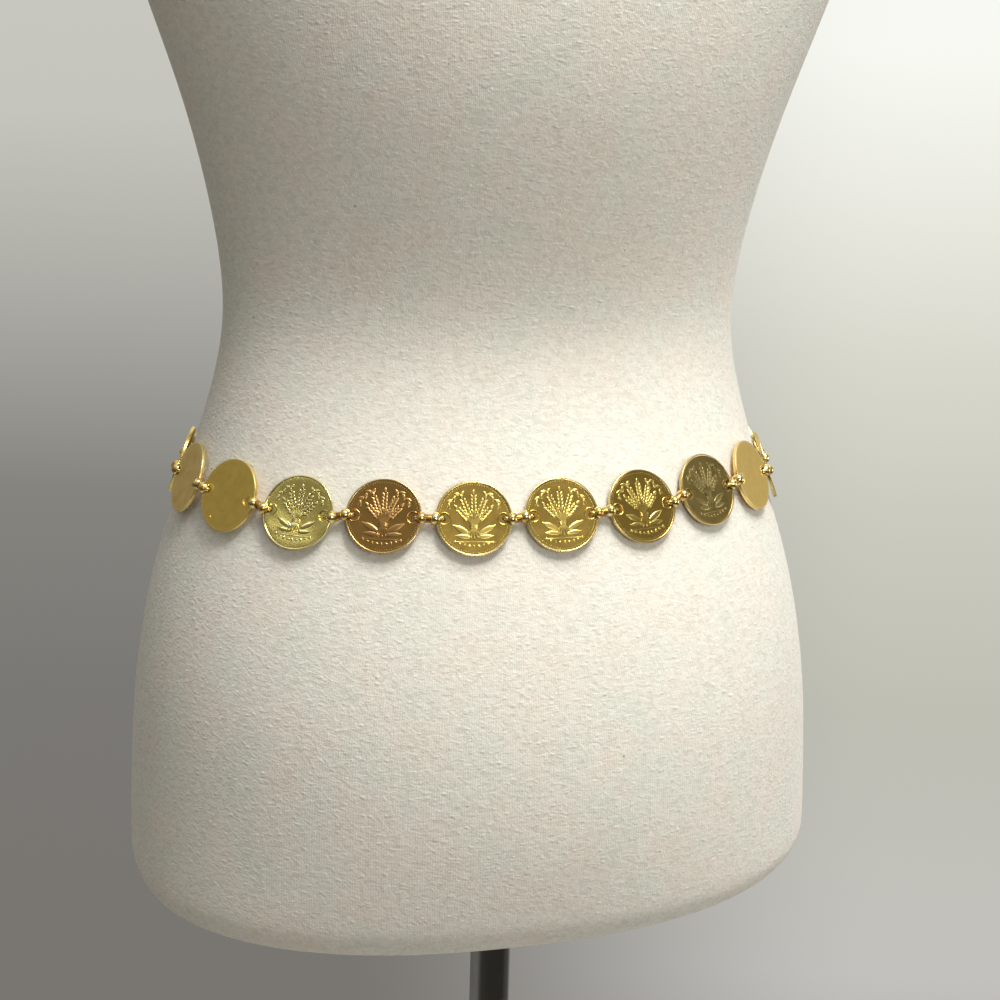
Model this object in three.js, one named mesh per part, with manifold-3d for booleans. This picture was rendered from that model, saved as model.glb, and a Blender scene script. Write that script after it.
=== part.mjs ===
// A belt of twenty gold-plated coins and their links, resting on a limbless dress form with its
// pole and base. Millimetres, +Z up. The origin is under the middle of the base, on the floor, and
// the pole stands on the Z axis. The side of the form at -Y is its back, which is the side shown.

import * as THREE from "three";
import { mergeVertices } from "three/addons/utils/BufferGeometryUtils.js";
import Module from "manifold-3d";

const wasm = await Module();
wasm.setup();

// Coins
const COIN_RADIUS = 15.4;
const COIN_THICKNESS = 1.65;
const RIM_WIDTH = 1.1;
const RIM_RISE = 0.2;
const HOLE_RADIUS = 1.4;
const HOLE_REACH = 12.6; // coin's middle to a hole's middle
const COIN_SIDES = 24;
const HOLE_SIDES = 8;

// Links between coins
const HOLE_SPAN = 10.9; // between the facing holes of two neighbours
const BEAD_REACH = 14.5; // coin's middle to the middle of a link's rounded loop
const BEAD_LENGTH = 5.6;
const BEAD_DEPTH = 4.6;
const BEAD_HEIGHT = 3.7;
const BEAD_SIDES = 6;
const BEAD_STACKS = 4;
const BARREL_RADIUS = 1.45;
const BARREL_SIDES = 6;
const BARREL_REACH = 16.5; // coin's middle to the barrel's end, inside the loop's outer wall
const HOOK_WIRE_RADIUS = 0.65;
const HOOK_GAP = 0.52; // bent wire to the faces of the coin it holds
const LOOP_GAP = 0.33; // loop to coin, all round
const GAP = 0.3; // other clearances between separate pieces
const TURN_SEARCH = { nearest: 0.1, furthest: 0.8, within: 1e-6 }; // radians, coin to next coin

// The belt's line on the form
const BELT_LEVEL = -61.2; // below the waist, on the form's middle
const BELT_TILT = { x: 0.017, y: 0.026 }; // rise of the belt's plane along +X and +Y
const COIN_SEAT = 1.35; // jersey to the middle of a coin's inner face
const FIRST_COIN_TURN = 1.75; // radians round from +X to the first coin, just left of the clasp

// One row for each coin, counted from the clasp round the form's left side, back and right side:
// how far it hangs below the belt's plane, and which face it shows
const COINS = [
  { drop: 0.0, face: "struck" },
  { drop: 0.6, face: "struck" },
  { drop: 0.9, face: "plain" },
  { drop: 0.4, face: "struck" },
  { drop: 0.0, face: "plain" },
  { drop: -0.8, face: "plain" },
  { drop: -0.4, face: "plain" },
  { drop: 1.4, face: "struck" },
  { drop: 0.3, face: "struck" },
  { drop: 0.7, face: "struck" },
  { drop: 0.5, face: "struck" },
  { drop: 0.0, face: "struck" },
  { drop: -1.9, face: "struck" },
  { drop: -1.6, face: "plain" },
  { drop: 1.6, face: "struck" },
  { drop: 1.2, face: "struck" },
  { drop: 0.4, face: "plain" },
  { drop: 0.7, face: "struck" },
  { drop: 0.5, face: "struck" },
  { drop: 0.0, face: "plain" },
];

// Dress form, pole and base
const WAIST_HEIGHT = 1040; // floor to waist
const FORM_MIDDLE = { x: -12, y: 2.5 }; // the form hangs a little off the pole's axis
const UNDERSIDE_ROUNDING = 18;
const UNDERSIDE_STEPS = 5;
const UNDERSIDE_SLANT = 0.047; // rise of the underside along +X
const SLANT_TOP = -150; // level where the slant has faded out
const NECK_ROUNDING = 9;
const NECK_STEPS = 3;
const FORM_SIDES = 40;
const RING_STEP = 34;
const POLE_RADIUS = 9.5;
const POLE_SIDES = 24;
const BORE_CLEARANCE = 0.5;
const BORE_DEPTH = 260;
const BASE_RADIUS = 150;
const BASE_THICKNESS = 8;
const BASE_SIDES = 30;
const SOCKET_FLOOR = 5;
const BOSS_RADIUS = 16;
const BOSS_HEIGHT = 46;

// The form, level by level from its underside to its neck: height from the waist, half width,
// depths behind and in front of the middle, and the outline's power (2 is an ellipse)
const TORSO = [
  { level: -245.5, halfWidth: 156, back: 124, front: 104, power: 2.3 },
  { level: -200, halfWidth: 155.3, back: 131, front: 108, power: 2.1 },
  { level: -150, halfWidth: 152, back: 128, front: 108, power: 2.1 },
  { level: -100, halfWidth: 142.3, back: 113.6, front: 104, power: 2.1 },
  { level: -50, halfWidth: 124.9, back: 90.8, front: 96, power: 2.1 },
  { level: 0, halfWidth: 112.4, back: 66.5, front: 88, power: 2.1 },
  { level: 50, halfWidth: 117.9, back: 80.5, front: 90, power: 2.1 },
  { level: 100, halfWidth: 131, back: 98.5, front: 97, power: 2.15 },
  { level: 150, halfWidth: 149, back: 106, front: 103, power: 2.2 },
  { level: 200, halfWidth: 163, back: 107, front: 100, power: 2.3 },
  { level: 250, halfWidth: 171, back: 103, front: 90, power: 2.4 },
  { level: 300, halfWidth: 176, back: 92, front: 76, power: 2.4 },
  { level: 335, halfWidth: 175, back: 76, front: 63, power: 2.3 },
  { level: 352, halfWidth: 166, back: 65, front: 57, power: 2.2 },
  { level: 367, halfWidth: 143, back: 57, front: 54, power: 2.1 },
  { level: 380, halfWidth: 113, back: 53, front: 53, power: 2 },
  { level: 392, halfWidth: 84, back: 52, front: 54, power: 2 },
  { level: 405, halfWidth: 65, back: 51, front: 56, power: 2 },
  { level: 424, halfWidth: 57, back: 49, front: 57, power: 2 },
  { level: 470, halfWidth: 53, back: 46, front: 56, power: 2 },
];
const BUST = { level: 168, halfSpacing: 70, breadth: 58, height: 62, rise: 20 };

const UNDERSIDE_LEVEL = TORSO[0].level;
const NECK_LEVEL = TORSO[TORSO.length - 1].level;

const gold = new THREE.MeshStandardMaterial({ color: "#c9a23a", roughness: 0.3, metalness: 1 });
const linkGold = new THREE.MeshStandardMaterial({ color: "#b88a34", roughness: 0.35, metalness: 1 });
const jersey = new THREE.MeshStandardMaterial({ color: "#e6e1d2", roughness: 0.95, metalness: 0 });
const chrome = new THREE.MeshStandardMaterial({ color: "#c9cbcc", roughness: 0.12, metalness: 1 });

// A closed geometry of positions only, its shared corners merged and flat triangles dropped
function weld(geometry) {
  const bare = geometry.clone();
  bare.deleteAttribute("normal");
  bare.deleteAttribute("uv");
  const merged = mergeVertices(bare);
  const corners = merged.index.array;
  const kept = [];
  for (let i = 0; i < corners.length; i += 3) {
    const [a, b, c] = [corners[i], corners[i + 1], corners[i + 2]];
    if (a !== b && b !== c && c !== a) kept.push(a, b, c);
  }
  merged.setIndex(kept);
  return merged;
}

function toSolid(geometry) {
  const welded = weld(geometry);
  return new wasm.Manifold(
    new wasm.Mesh({
      numProp: 3,
      vertProperties: Float32Array.from(welded.attributes.position.array),
      triVerts: Uint32Array.from(welded.index.array),
    }),
  );
}

function toGeometry(solid) {
  const mesh = solid.getMesh();
  const geometry = new THREE.BufferGeometry();
  geometry.setAttribute("position", new THREE.BufferAttribute(mesh.vertProperties, 3));
  geometry.setIndex(new THREE.BufferAttribute(mesh.triVerts, 1));
  geometry.computeVertexNormals();
  return geometry;
}

function namedMesh(name, geometry, material) {
  const mesh = new THREE.Mesh(geometry, material);
  mesh.name = name;
  return mesh;
}

// A solid turned about Z from a half outline of [radius, height] points
function turned(outline, sides) {
  const points = outline.map(([radius, height]) => new THREE.Vector2(radius, height));
  return new THREE.LatheGeometry(points, sides).rotateX(Math.PI / 2);
}

// An upright cylinder from one height to another
function upright(radius, sides, from, to) {
  const cylinder = new THREE.CylinderGeometry(radius, radius, to - from, sides);
  return cylinder.rotateX(Math.PI / 2).translate(0, 0, (from + to) / 2);
}

// One column of the torso's table at any level, joined smoothly from row to row
function torsoValue(column, level) {
  const last = TORSO.length - 1;
  const above = TORSO.findIndex((row) => row.level > level);
  const low = above < 0 ? last - 1 : Math.max(above - 1, 0);
  const slopeAt = (index) => {
    const before = TORSO[Math.max(index - 1, 0)];
    const after = TORSO[Math.min(index + 1, last)];
    return (after[column] - before[column]) / (after.level - before.level);
  };
  const span = TORSO[low + 1].level - TORSO[low].level;
  const t = (level - TORSO[low].level) / span;
  const start = TORSO[low][column];
  const end = TORSO[low + 1][column];
  return (
    start * (1 + 2 * t) * (1 - t) ** 2 +
    end * (3 - 2 * t) * t ** 2 +
    slopeAt(low) * span * t * (1 - t) ** 2 -
    slopeAt(low + 1) * span * (1 - t) * t ** 2
  );
}

// The two soft rises of the bust, added to the front of the form
function bustRise(x, level) {
  const across = (side) => Math.exp(-(((x - side * BUST.halfSpacing) / BUST.breadth) ** 2));
  const upAndDown = Math.exp(-(((level - BUST.level) / BUST.height) ** 2));
  return BUST.rise * upAndDown * (across(1) + across(-1));
}

// A point on the form's skin, by the turn from +X and the level, with its outline drawn in
function skinPoint(turn, level, inset = 0) {
  const bend = 2 / torsoValue("power", level);
  const powered = (value) => Math.sign(value) * Math.abs(value) ** bend;
  const front = Math.sin(turn) > 0;
  const depth = torsoValue(front ? "front" : "back", level) - inset;
  const x = (torsoValue("halfWidth", level) - inset) * powered(Math.cos(turn));
  const y = depth * powered(Math.sin(turn));
  const rise = front ? bustRise(x, level) * Math.sin(turn) : 0;
  return new THREE.Vector3(x, y + rise, level);
}

// Levels of the form's rings, closer where its width changes fast, with both ends rounded over
function torsoRings() {
  const rings = [];
  const quarter = Math.PI / 2;
  for (let turn = 0; turn < quarter - 0.01; turn += quarter / UNDERSIDE_STEPS) {
    const level = UNDERSIDE_LEVEL + UNDERSIDE_ROUNDING * (1 - Math.cos(turn));
    rings.push({ level, inset: UNDERSIDE_ROUNDING * (1 - Math.sin(turn)) });
  }
  const top = NECK_LEVEL - NECK_ROUNDING;
  let from = { level: UNDERSIDE_LEVEL + UNDERSIDE_ROUNDING };
  from.halfWidth = torsoValue("halfWidth", from.level);
  for (const row of TORSO.slice(1)) {
    const level = Math.min(row.level, top);
    const change = Math.max(level - from.level, Math.abs(row.halfWidth - from.halfWidth));
    const steps = Math.ceil(change / RING_STEP);
    for (let step = 0; step < steps; step += 1) {
      rings.push({ level: THREE.MathUtils.lerp(from.level, level, step / steps), inset: 0 });
    }
    from = { level, halfWidth: row.halfWidth };
  }
  for (let turn = 0; turn < quarter + 0.01; turn += quarter / NECK_STEPS) {
    const level = top + NECK_ROUNDING * Math.sin(turn);
    rings.push({ level, inset: NECK_ROUNDING * (1 - Math.cos(turn)) });
  }
  return rings;
}

// The form's closed skin, ring on ring, before its bore is cut
function torsoSkin() {
  const rings = torsoRings();
  const positions = [];
  for (const { level, inset } of rings) {
    const fade = THREE.MathUtils.smoothstep(level, UNDERSIDE_LEVEL, SLANT_TOP);
    const slant = UNDERSIDE_SLANT * (1 - fade);
    for (let side = 0; side < FORM_SIDES; side += 1) {
      const point = skinPoint((2 * Math.PI * side) / FORM_SIDES, level, inset);
      positions.push(point.x, point.y, point.z + slant * point.x);
    }
  }
  const bottomMiddle = positions.length / 3;
  const topMiddle = bottomMiddle + 1;
  positions.push(0, 0, UNDERSIDE_LEVEL, 0, 0, NECK_LEVEL);
  const faces = [];
  const corner = (ring, side) => ring * FORM_SIDES + (side % FORM_SIDES);
  for (let side = 0; side < FORM_SIDES; side += 1) {
    faces.push(bottomMiddle, corner(0, side + 1), corner(0, side));
    faces.push(topMiddle, corner(rings.length - 1, side), corner(rings.length - 1, side + 1));
    for (let ring = 0; ring < rings.length - 1; ring += 1) {
      faces.push(corner(ring, side), corner(ring, side + 1), corner(ring + 1, side + 1));
      faces.push(corner(ring, side), corner(ring + 1, side + 1), corner(ring + 1, side));
    }
  }
  const geometry = new THREE.BufferGeometry();
  geometry.setAttribute("position", new THREE.Float32BufferAttribute(positions, 3));
  geometry.setIndex(faces);
  return geometry;
}

function makeForm() {
  const boreRadius = (POLE_RADIUS + BORE_CLEARANCE) / Math.cos(Math.PI / POLE_SIDES);
  const bore = upright(boreRadius, POLE_SIDES, UNDERSIDE_LEVEL - 1, UNDERSIDE_LEVEL + BORE_DEPTH);
  bore.translate(-FORM_MIDDLE.x, -FORM_MIDDLE.y, 0);
  const solid = toSolid(torsoSkin()).subtract(toSolid(bore));
  return namedMesh("form", toGeometry(solid), jersey);
}

function makePole() {
  const top = WAIST_HEIGHT + UNDERSIDE_LEVEL + BORE_DEPTH - GAP;
  const pole = upright(POLE_RADIUS, POLE_SIDES, SOCKET_FLOOR + GAP, top);
  return namedMesh("pole", weld(pole), chrome);
}

// A flat round base with a soft edge and a boss that holds the pole
function makeBase() {
  const socketRadius = (POLE_RADIUS + GAP) / Math.cos(Math.PI / BASE_SIDES);
  const outline = [
    [0, 0],
    [BASE_RADIUS - 2, 0],
    [BASE_RADIUS, 2],
    [BASE_RADIUS - 1, BASE_THICKNESS - 3],
    [BASE_RADIUS - 5, BASE_THICKNESS],
    [BOSS_RADIUS + 6, BASE_THICKNESS + 2],
    [BOSS_RADIUS, BASE_THICKNESS + 8],
    [BOSS_RADIUS, BOSS_HEIGHT - 3],
    [BOSS_RADIUS - 2, BOSS_HEIGHT],
    [socketRadius, BOSS_HEIGHT],
    [socketRadius, SOCKET_FLOOR],
    [0, SOCKET_FLOOR],
  ];
  return namedMesh("base", weld(turned(outline, BASE_SIDES)), chrome);
}

// A coin lies in its own XY plane, holes along X, with its struck face and raised rim at +Z
function coinSolid() {
  const face = COIN_THICKNESS / 2;
  const outline = [
    [0, -face],
    [COIN_RADIUS, -face],
    [COIN_RADIUS, face],
    [COIN_RADIUS - RIM_WIDTH, face],
    [COIN_RADIUS - RIM_WIDTH, face - RIM_RISE],
    [0, face - RIM_RISE],
  ];
  let solid = toSolid(turned(outline, COIN_SIDES));
  for (const side of [-1, 1]) {
    const hole = upright(HOLE_RADIUS, HOLE_SIDES, -face - 1, face + 1);
    solid = solid.subtract(toSolid(hole.translate(side * HOLE_REACH, 0, 0)));
  }
  return solid;
}

// A link's rounded loop in its coin's own frame: it closes round the coin's edge through the hole
function loopGeometry(side) {
  const bead = new THREE.SphereGeometry(0.5, BEAD_SIDES, BEAD_STACKS).rotateX(Math.PI / 2);
  bead.scale(BEAD_LENGTH, BEAD_HEIGHT, BEAD_DEPTH).translate(side * BEAD_REACH, 0, 0);
  const face = COIN_THICKNESS / 2 + LOOP_GAP;
  const rim = toSolid(upright(COIN_RADIUS + LOOP_GAP, COIN_SIDES, -face, face));
  const throat = upright(HOLE_RADIUS - LOOP_GAP, HOLE_SIDES, -face - 1, face + 1);
  const coinSpace = rim.subtract(toSolid(throat.translate(side * HOLE_REACH, 0, 0)));
  return toGeometry(toSolid(bead).subtract(coinSpace));
}

// A cylinder from one point to another
function rod(radius, sides, from, to) {
  const axis = to.clone().sub(from);
  const cylinder = upright(radius, sides, 0, axis.length());
  const turn = new THREE.Quaternion().setFromUnitVectors(
    new THREE.Vector3(0, 0, 1),
    axis.normalize(),
  );
  return cylinder.applyQuaternion(turn).translate(...from.toArray());
}

// Where a coin sits: on the form's skin at this turn, flat to it, its holes along the belt's line
function coinMatrix(index, turn) {
  const planeLevel = (x, y) => BELT_LEVEL + BELT_TILT.x * x + BELT_TILT.y * y;
  const levelHere = skinPoint(turn, BELT_LEVEL);
  const level = planeLevel(levelHere.x, levelHere.y) - COINS[index].drop;
  const step = 0.01;
  const onSkin = skinPoint(turn, level);
  const along = skinPoint(turn + step, level).sub(skinPoint(turn - step, level)).normalize();
  const upward = skinPoint(turn, level + 1).sub(skinPoint(turn, level - 1));
  const outward = along.clone().cross(upward).normalize();
  const before = COINS[Math.max(index - 1, 0)].drop;
  const after = COINS[Math.min(index + 1, COINS.length - 1)].drop;
  const coinPitch = HOLE_SPAN + 2 * HOLE_REACH;
  along.applyAxisAngle(outward, Math.atan2(before - after, 2 * coinPitch));
  const standing = outward.clone().cross(along);
  const middle = onSkin.addScaledVector(outward, COIN_SEAT + COIN_THICKNESS / 2);
  return new THREE.Matrix4().makeBasis(along, standing, outward).setPosition(middle);
}

function pointOn(matrix, x, y = 0, z = 0) {
  return new THREE.Vector3(x, y, z).applyMatrix4(matrix);
}

// The coins in turn, each a link's length from the last
function coinMatrices() {
  const matrices = [coinMatrix(0, FIRST_COIN_TURN)];
  let turn = FIRST_COIN_TURN;
  for (let index = 1; index < COINS.length; index += 1) {
    const lastHole = pointOn(matrices[index - 1], HOLE_REACH);
    let [near, far] = [turn + TURN_SEARCH.nearest, turn + TURN_SEARCH.furthest];
    while (far - near > TURN_SEARCH.within) {
      turn = (near + far) / 2;
      const hole = pointOn(coinMatrix(index, turn), -HOLE_REACH);
      if (hole.distanceTo(lastHole) < HOLE_SPAN) near = turn;
      else far = turn;
    }
    matrices.push(coinMatrix(index, turn));
  }
  return matrices;
}

function makeCoins(matrices) {
  const geometry = toGeometry(coinSolid());
  return matrices.map((matrix, index) => {
    const coin = namedMesh(`coin_${String(index + 1).padStart(2, "0")}`, geometry, gold);
    coin.applyMatrix4(matrix);
    if (COINS[index].face === "plain") coin.rotateY(Math.PI);
    return coin;
  });
}

// A loop on each of two neighbours, joined by a short barrel
function makeLinks(matrices) {
  const loops = { left: loopGeometry(-1), right: loopGeometry(1) };
  return matrices.slice(1).map((matrix, index) => {
    const last = matrices[index];
    const from = pointOn(last, BARREL_REACH);
    const to = pointOn(matrix, -BARREL_REACH);
    const solid = toSolid(loops.right.clone().applyMatrix4(last))
      .add(toSolid(loops.left.clone().applyMatrix4(matrix)))
      .add(toSolid(rod(BARREL_RADIUS, BARREL_SIDES, from, to)));
    const name = `link_${String(index + 1).padStart(2, "0")}`;
    return namedMesh(name, toGeometry(solid), linkGold);
  });
}

// A plain wire hook: a loop on the last coin, and a bent end through the first coin's free hole
function makeClasp(matrices) {
  const first = matrices[0];
  const last = matrices[matrices.length - 1];
  const bend = COIN_THICKNESS / 2 + HOOK_GAP + HOOK_WIRE_RADIUS;
  const bendMiddle = -HOLE_REACH - bend;
  const route = [
    pointOn(last, BARREL_REACH - 0.2),
    pointOn(last, BARREL_REACH + 3),
    pointOn(first, bendMiddle - 5, 0, bend),
    pointOn(first, bendMiddle, 0, bend),
    pointOn(first, bendMiddle + 0.7 * bend, 0, 0.7 * bend),
    pointOn(first, bendMiddle + bend, 0, 0),
    pointOn(first, bendMiddle + 0.7 * bend, 0, -0.7 * bend),
    pointOn(first, bendMiddle, 0, -bend),
    pointOn(first, bendMiddle - 1.2, 0, -bend),
  ];
  const wire = new THREE.Shape().absarc(0, 0, HOOK_WIRE_RADIUS, 0, 2 * Math.PI);
  const bent = new THREE.ExtrudeGeometry(wire, {
    extrudePath: new THREE.CatmullRomCurve3(route),
    steps: 24,
    curveSegments: 3,
    bevelEnabled: false,
  });
  const solid = toSolid(loopGeometry(1).applyMatrix4(last)).add(toSolid(bent));
  return namedMesh("hook_clasp", toGeometry(solid), linkGold);
}

const matrices = coinMatrices();
const belt = new THREE.Group();
belt.add(...makeCoins(matrices), ...makeLinks(matrices), makeClasp(matrices));

const dressedForm = new THREE.Group();
dressedForm.position.set(FORM_MIDDLE.x, FORM_MIDDLE.y, WAIST_HEIGHT);
dressedForm.add(makeForm(), belt);

const group = new THREE.Group();
group.add(makeBase(), makePole(), dressedForm);

export default group;
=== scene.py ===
# %% [markdown]
# # A coin chain belt on a dress form
# The real thing is a chain of twenty gold-plated coins, joined by small cast links and worn low
# on the hips of a jersey-covered dress form that hangs on a chrome pole. Metal, plating and knitted
# cloth catch light in three different ways, and that difference is what this scene sets out to show.
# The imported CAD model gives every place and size, so it is loaded first and is never moved.

# %% Load the frame
import math

import bmesh
import bpy
import numpy as np
from mathutils import Matrix, Vector


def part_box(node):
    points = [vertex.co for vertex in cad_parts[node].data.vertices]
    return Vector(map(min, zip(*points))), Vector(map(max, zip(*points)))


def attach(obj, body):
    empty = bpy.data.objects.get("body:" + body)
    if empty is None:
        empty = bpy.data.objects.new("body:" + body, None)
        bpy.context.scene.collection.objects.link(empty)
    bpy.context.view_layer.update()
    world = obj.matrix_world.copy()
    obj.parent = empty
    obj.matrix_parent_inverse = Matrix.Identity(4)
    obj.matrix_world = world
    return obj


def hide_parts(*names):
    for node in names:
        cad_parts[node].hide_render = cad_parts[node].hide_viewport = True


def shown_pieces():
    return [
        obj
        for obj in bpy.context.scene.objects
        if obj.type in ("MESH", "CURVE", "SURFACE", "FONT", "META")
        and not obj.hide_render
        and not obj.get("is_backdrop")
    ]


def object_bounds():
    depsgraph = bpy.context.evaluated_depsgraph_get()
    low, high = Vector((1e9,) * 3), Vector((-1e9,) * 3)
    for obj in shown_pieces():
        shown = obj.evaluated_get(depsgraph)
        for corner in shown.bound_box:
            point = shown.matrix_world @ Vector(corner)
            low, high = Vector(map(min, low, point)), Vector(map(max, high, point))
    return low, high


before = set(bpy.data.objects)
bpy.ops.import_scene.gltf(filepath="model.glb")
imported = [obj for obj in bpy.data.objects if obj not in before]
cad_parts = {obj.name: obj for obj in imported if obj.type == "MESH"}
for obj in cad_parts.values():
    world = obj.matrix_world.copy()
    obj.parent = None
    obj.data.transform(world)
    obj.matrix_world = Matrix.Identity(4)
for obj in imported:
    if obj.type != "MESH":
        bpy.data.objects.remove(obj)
cad_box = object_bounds()
mm = 0.001
print("CAD nodes:", len(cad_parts), "box", [round(c, 3) for corner in cad_box for c in corner])

# %% [markdown]
# ## Small helpers
# Modelling here goes as it does by hand: add a primitive, shape it in edit mode, finish it with
# modifiers. A helper or two saves repeating the clicks. The frame arrives selected, so each new
# piece starts by deselecting everything.


# %% Helpers for modelling
def deselect():
    if bpy.context.object and bpy.context.object.mode != "OBJECT":
        bpy.ops.object.mode_set(mode="OBJECT")
    bpy.ops.object.select_all(action="DESELECT")


def choose(*pieces):
    """Selects these pieces alone, the last of them active."""
    deselect()
    for piece in pieces:
        piece.select_set(True)
    bpy.context.view_layer.objects.active = pieces[-1]


def pick(kind, test):
    """In edit mode, selects the vertices, edges or faces whose middle (and normal) pass the test."""
    bpy.ops.mesh.select_all(action="DESELECT")
    bpy.ops.mesh.select_mode(type=kind)
    mesh = bmesh.from_edit_mesh(bpy.context.object.data)
    if kind == "FACE":
        for face in mesh.faces:
            face.select_set(bool(test(face.calc_center_median(), face.normal)))
    elif kind == "EDGE":
        for edge in mesh.edges:
            edge.select_set(all(test(v.co, v.normal) for v in edge.verts))
    else:
        for vert in mesh.verts:
            vert.select_set(bool(test(vert.co, vert.normal)))
    mesh.select_flush_mode()
    bmesh.update_edit_mesh(bpy.context.object.data)


def settle(piece, name):
    """Puts a piece's place, turn and size into its mesh, so that its object stays at the origin."""
    choose(piece)
    bpy.ops.object.transform_apply(location=True, rotation=True, scale=True)
    piece.name = piece.data.name = name
    return piece


def add_modifier(piece, kind, **settings):
    """Adds a modifier, sets it up and applies it."""
    choose(piece)
    modifier = piece.modifiers.new(kind.title(), kind)
    for key, value in settings.items():
        setattr(modifier, key, value)
    bpy.ops.object.modifier_apply(modifier=modifier.name)


def copied(piece, place, name="copy"):
    """A copy with its own mesh, moved by a matrix that goes into the mesh."""
    twin = piece.copy()
    twin.data = piece.data.copy()
    twin.data.transform(place)
    twin.name = twin.data.name = name
    bpy.context.collection.objects.link(twin)
    return twin


def joined(pieces, name):
    choose(*pieces)
    if len(pieces) > 1:
        bpy.ops.object.join()
    piece = bpy.context.object
    piece.name = piece.data.name = name
    return piece


def smooth(piece, angle):
    """Smooth shading that keeps edges sharper than the angle, in degrees."""
    choose(piece)
    bpy.ops.object.shade_smooth_by_angle(angle=math.radians(angle))


def stands_for(piece, body, node):
    """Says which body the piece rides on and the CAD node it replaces."""
    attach(piece, body)
    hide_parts(node)


def triangles(piece):
    piece.data.calc_loop_triangles()
    return len(piece.data.loop_triangles)


# %% Helpers for materials
def linear(colour):
    """A linear colour from an sRGB hex value such as #c8a45a."""
    parts = [int(colour[i : i + 2], 16) / 255 for i in (1, 3, 5)]
    return (*[c / 12.92 if c <= 0.04045 else ((c + 0.055) / 1.055) ** 2.4 for c in parts], 1.0)


def add_node(tree, kind, sockets=None, stops=None, **settings):
    """Adds a node. A socket takes a value, an output, or a node, which gives its first live output."""
    new = tree.nodes.new("ShaderNode" + kind)
    for key, value in settings.items():
        setattr(new, key, value)
    for key, value in (sockets or {}).items():
        if isinstance(value, bpy.types.Node):
            value = next(output for output in value.outputs if output.enabled)
        if isinstance(value, bpy.types.NodeSocket):
            tree.links.new(value, new.inputs[key])
        else:
            new.inputs[key].default_value = value
    if stops:
        points = new.color_ramp.elements
        while len(points) < len(stops):
            points.new(0.5)
        for point, (position, colour) in zip(points, stops):
            point.position, point.color = position, linear(colour)
    return new


def new_material(name):
    material = bpy.data.materials.new(name)
    material.use_nodes = True
    material.node_tree.nodes.clear()
    return material, material.node_tree


def dress(piece, *materials):
    piece.data.materials.clear()
    for material in materials:
        piece.data.materials.append(material)


# %% [markdown]
# ## The camera
# The photograph looks at the back of the form from a little above and to its left. The place, the
# direction and the lens were fitted to measured outlines, so they are given as plain numbers here.
# A lens of 70 mm on a square frame keeps the hips from bulging as a short lens would make them.

# %% Camera
toward = Vector((0.2013149, 0.9522848, -0.2294036)).normalized()
rightward = toward.cross(Vector((0, 0, 1))).normalized()
upward = rightward.cross(toward)
camera_place = Vector((-178.16, -835.45, 1161.77)) * mm
camera_roll = 0.0281
camera_turn = Matrix((rightward, upward, -toward)).transposed() @ Matrix.Rotation(camera_roll, 3, "Z")
camera_data = bpy.data.cameras.new("photo_camera")
camera_data.lens = 70.097
camera_data.sensor_width = 36
camera = bpy.data.objects.new("photo_camera", camera_data)
bpy.context.scene.collection.objects.link(camera)
camera.matrix_world = Matrix.Translation(camera_place) @ camera_turn.to_4x4()
bpy.context.scene.camera = camera
print("camera", [round(c, 3) for c in camera.location], "lens", round(camera_data.lens, 1))

# %% [markdown]
# ## The room
# A gold-plated coin shows almost nothing but the room it stands in, so the room matters as much as
# the metal. The wall behind is pale and brighter to the right. The side of the room that the coins
# face is dim at eye level, nearly dark below it and bright towards the ceiling, which is what gives
# each dished coin a darker top and a lighter foot. A world shader on directions paints all this
# without a wall that could get in the way when the form is seen from another side.

# %% World directions
world = bpy.data.worlds.new("photo_room")
bpy.context.scene.world = world
world.use_nodes = True
room = world.node_tree
room.nodes.clear()
direction = add_node(room, "TexCoord").outputs["Generated"]
ahead, sideways, rising = [
    add_node(room, "VectorMath", {0: direction, 1: tuple(axis)}, operation="DOT_PRODUCT")
    for axis in (toward, rightward, upward)
]
skyward = add_node(room, "SeparateXYZ", {0: direction}).outputs["Z"]
# a least depth keeps the two ratios finite for directions that are square to the view or behind it
depth = add_node(room, "Math", {0: ahead, 1: 0.3}, operation="MAXIMUM")
across = add_node(room, "Math", {0: sideways, 1: depth}, operation="DIVIDE")
height = add_node(room, "Math", {0: rising, 1: depth}, operation="DIVIDE")
# the picture spans this much to each side of its middle; the walls' ramps run over twice that
half_picture = 0.2575
height_share = add_node(room, "MapRange", {0: height, 1: -2 * half_picture, 2: 2 * half_picture})
across_share = add_node(
    room, "MapRange", {0: across, 1: -0.082, 2: 0.206}, interpolation_type="SMOOTHSTEP")

# %% Wall, near side and ceiling
left_wall = add_node(room, "ValToRGB", {0: height_share}, stops=[
    (0.0, "#b8b5ae"), (0.22, "#787570"), (0.4, "#7a7874"), (0.5, "#85847f"),
    (0.6, "#adaca6"), (0.69, "#c5c5bd"), (1.0, "#d0cecb")])
right_wall = add_node(room, "ValToRGB", {0: height_share}, stops=[
    (0.0, "#77756f"), (0.27, "#c3c1bd"), (0.4, "#bfbfb4"), (0.5, "#cbcbc0"),
    (0.575, "#d9d8cd"), (0.65, "#e9e9e0"), (0.73, "#f8f9f2")])
wall = add_node(room, "Mix", {0: across_share, 6: left_wall, 7: right_wall}, data_type="RGBA")
far_left = add_node(room, "MapRange", {0: across, 1: -1.2, 2: -0.4, 3: 0.4, 4: 1.0})
far_right = add_node(room, "MapRange", {0: across, 1: 0.4, 2: 1.2, 3: 1.0, 4: 0.5})
far_out = add_node(room, "Math", {0: far_left, 1: far_right}, operation="MULTIPLY")
wall = add_node(room, "Mix", {0: 1.0, 6: wall, 7: far_out}, data_type="RGBA", blend_type="MULTIPLY")
lift = add_node(room, "MapRange", {0: skyward, 1: -1.0, 2: 1.0})
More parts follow.
